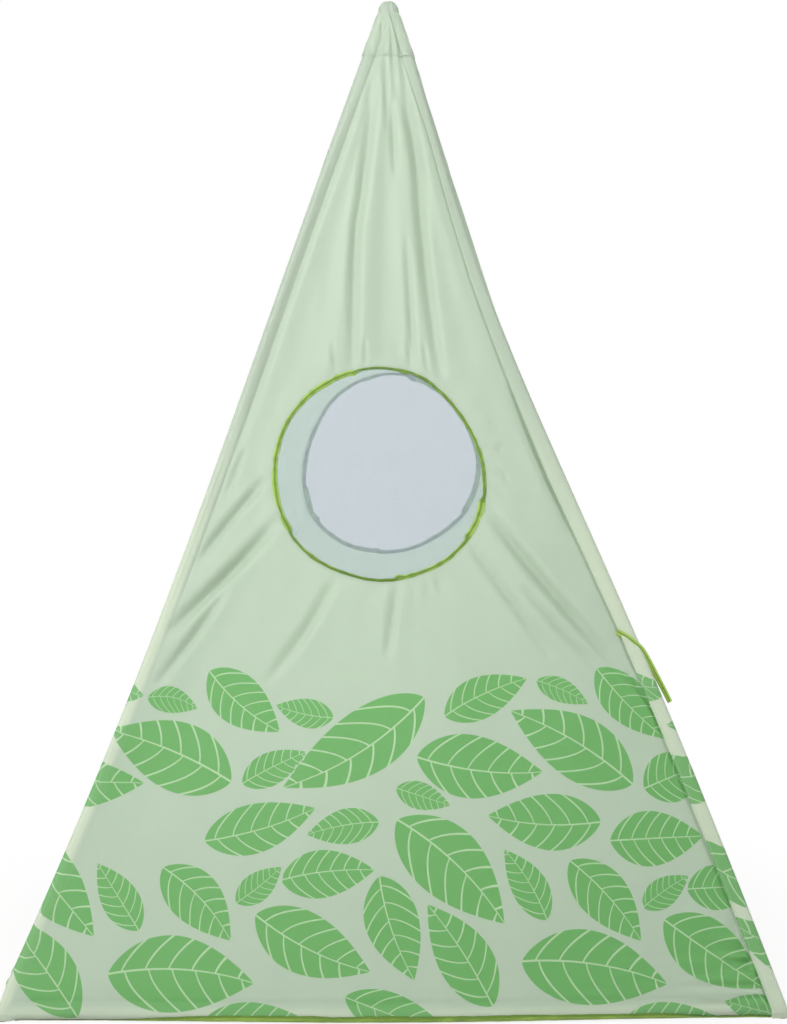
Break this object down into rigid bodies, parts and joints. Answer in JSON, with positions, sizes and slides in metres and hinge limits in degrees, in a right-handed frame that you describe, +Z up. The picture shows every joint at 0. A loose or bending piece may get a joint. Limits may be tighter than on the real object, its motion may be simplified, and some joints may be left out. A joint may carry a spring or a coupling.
{
  "type": "play tent",
  "caption": "Square pyramid children's tepee tent with a closed cloth tip, two round mesh windows and a door with two folding flaps.",
  "frame": {"origin": "centre of the tent's footprint, on the floor", "axes": "+Z up to the tip, -Y out of the pictured window wall, +X out of the door wall"},
  "size_m": [1.2242, 1.2242, 1.62],
  "materials": {
    "mint_cloth": "pale mint woven polyester with a soft satin sheen, printed with leaves low down",
    "lime_cloth": "lime green woven polyester tape and floor cloth",
    "window_mesh": "fine pale see-through mesh",
    "white_tube": "extruded off-white plastic tube",
    "dark_plastic": "moulded dark grey plastic"
  },
  "bodies": {
    "tent": {"apex_hub": "dark_plastic", "base_rod_back_socket": "white_tube", "base_rod_back_spigot": "white_tube", "base_rod_front_socket": "white_tube", "base_rod_front_spigot": "white_tube", "base_rod_left_socket": "white_tube", "base_rod_left_spigot": "white_tube", "base_rod_right_socket": "white_tube", "base_rod_right_spigot": "white_tube", "corner_connector_back_left": "dark_plastic", "corner_connector_back_right": "dark_plastic", "corner_connector_front_left": "dark_plastic", "corner_connector_front_right": "dark_plastic", "door_panel": "mint_cloth", "door_tie": "lime_cloth", "groundsheet": "lime_cloth", "hem_binding_back": "lime_cloth", "hem_binding_front": "lime_cloth", "hem_binding_left": "lime_cloth", "hem_binding_right": "lime_cloth", "hem_sleeve_back": "mint_cloth", "hem_sleeve_front": "mint_cloth", "hem_sleeve_left": "mint_cloth", "hem_sleeve_right": "mint_cloth", "pole_back_left_lower": "white_tube", "pole_back_left_middle": "white_tube", "pole_back_left_upper": "white_tube", "pole_back_right_lower": "white_tube", "pole_back_right_middle": "white_tube", "pole_back_right_upper": "white_tube", "pole_front_left_lower": "white_tube", "pole_front_left_middle": "white_tube", "pole_front_left_upper": "white_tube", "pole_front_right_lower": "white_tube", "pole_front_right_middle": "white_tube", "pole_front_right_upper": "white_tube", "pole_sleeve_back_left": "mint_cloth", "pole_sleeve_back_right": "mint_cloth", "pole_sleeve_front_left": "mint_cloth", "pole_sleeve_front_right": "mint_cloth", "side_panel": "mint_cloth", "tip_cap": "mint_cloth", "window_binding_back": "lime_cloth", "window_binding_front": "lime_cloth", "window_mesh_back": "window_mesh", "window_mesh_front": "window_mesh", "window_panel_back": "mint_cloth", "window_panel_front": "mint_cloth"},
    "door_flap_front": {"door_flap_front": "mint_cloth"},
    "door_flap_back": {"door_flap_back": "mint_cloth"}
  },
  "joints": [
    {"name": "front_flap_fold", "type": "hinge", "parent": "tent", "child": "door_flap_front", "pos_m": [0.23187, 0.00159, 0.93899], "axis": [0.3357, -0.3921, -0.8565], "range_deg": [0, 160]},
    {"name": "back_flap_fold", "type": "hinge", "parent": "tent", "child": "door_flap_back", "pos_m": [0.23187, 0.00159, 0.93899], "axis": [-0.3361, -0.3896, 0.8575], "range_deg": [0, 160]}
  ]
}
